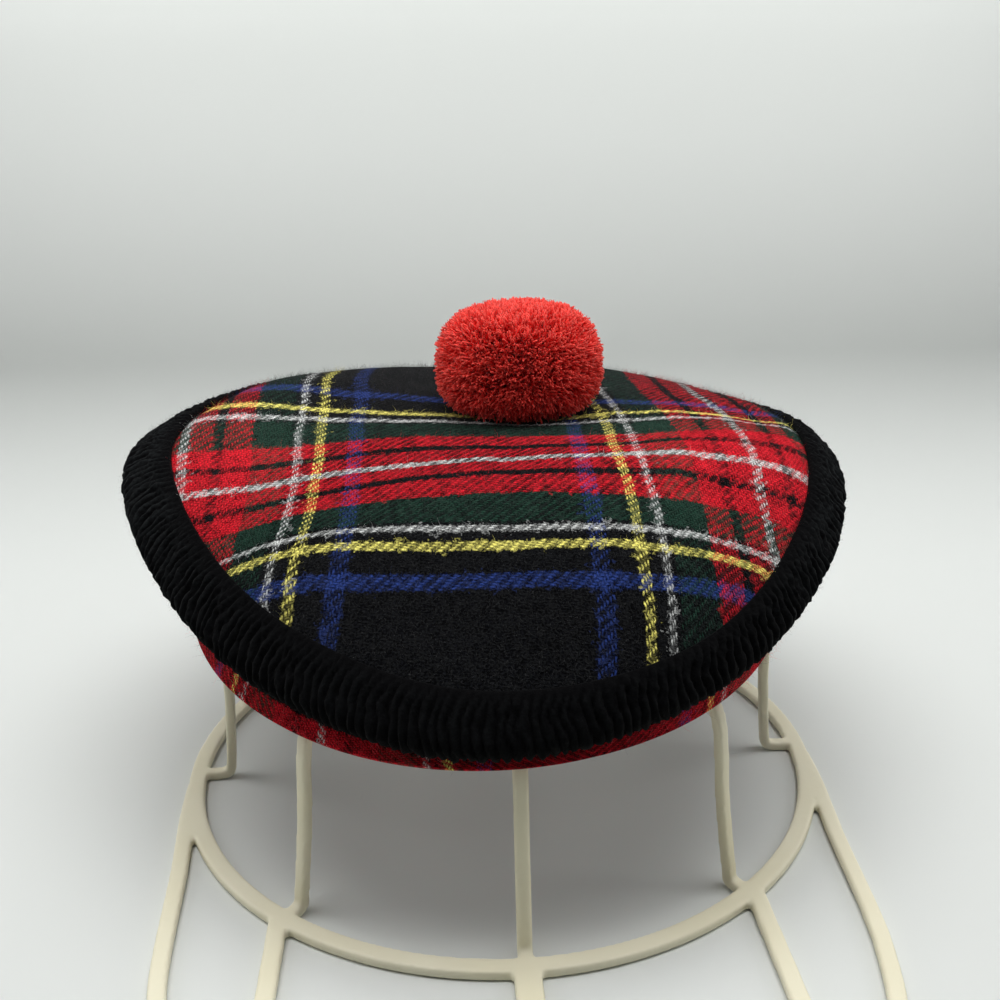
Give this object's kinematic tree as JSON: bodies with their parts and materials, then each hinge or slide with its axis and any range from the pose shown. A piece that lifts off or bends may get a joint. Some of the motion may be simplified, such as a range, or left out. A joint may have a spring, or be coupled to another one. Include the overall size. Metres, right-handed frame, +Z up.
{
  "type": "tam o shanter on a plain hat stand",
  "caption": "Round soft tartan wool cap with a ribbed knitted rim and a wool pompom, resting on an open moulded frame with an upright ribbed cage and a brim-shaped front.",
  "frame": {"origin": "middle of the bounding box in plan, on the table", "axes": "+Z up, +Y from the front of the brim frame to the back of the cap, +X to the right as seen from the front of the picture's view"},
  "size_m": [0.22, 0.2944, 0.1461],
  "materials": {
    "crown_wool": "brushed twill tartan in red, black and dark green with white, yellow and blue lines",
    "underside_wool": "brushed twill tartan, mostly red and black",
    "black_knit": "ribbed wool knit",
    "red_yarn": "cut wool pile",
    "ivory_plastic": "satin moulded"
  },
  "bodies": {
    "root": {"base_ring": "ivory_plastic", "brim_rib_1": "ivory_plastic", "brim_rib_2": "ivory_plastic", "brim_rib_3": "ivory_plastic", "brim_rim": "ivory_plastic", "crown_top": "crown_wool", "pompom": "red_yarn", "rim_binding": "black_knit", "stand_hub": "ivory_plastic", "stand_rib_1": "ivory_plastic", "stand_rib_2": "ivory_plastic", "stand_rib_3": "ivory_plastic", "stand_rib_4": "ivory_plastic", "stand_rib_5": "ivory_plastic", "stand_rib_6": "ivory_plastic", "stand_rib_7": "ivory_plastic", "stand_rib_8": "ivory_plastic", "underside": "underside_wool"}
  },
  "joints": []
}
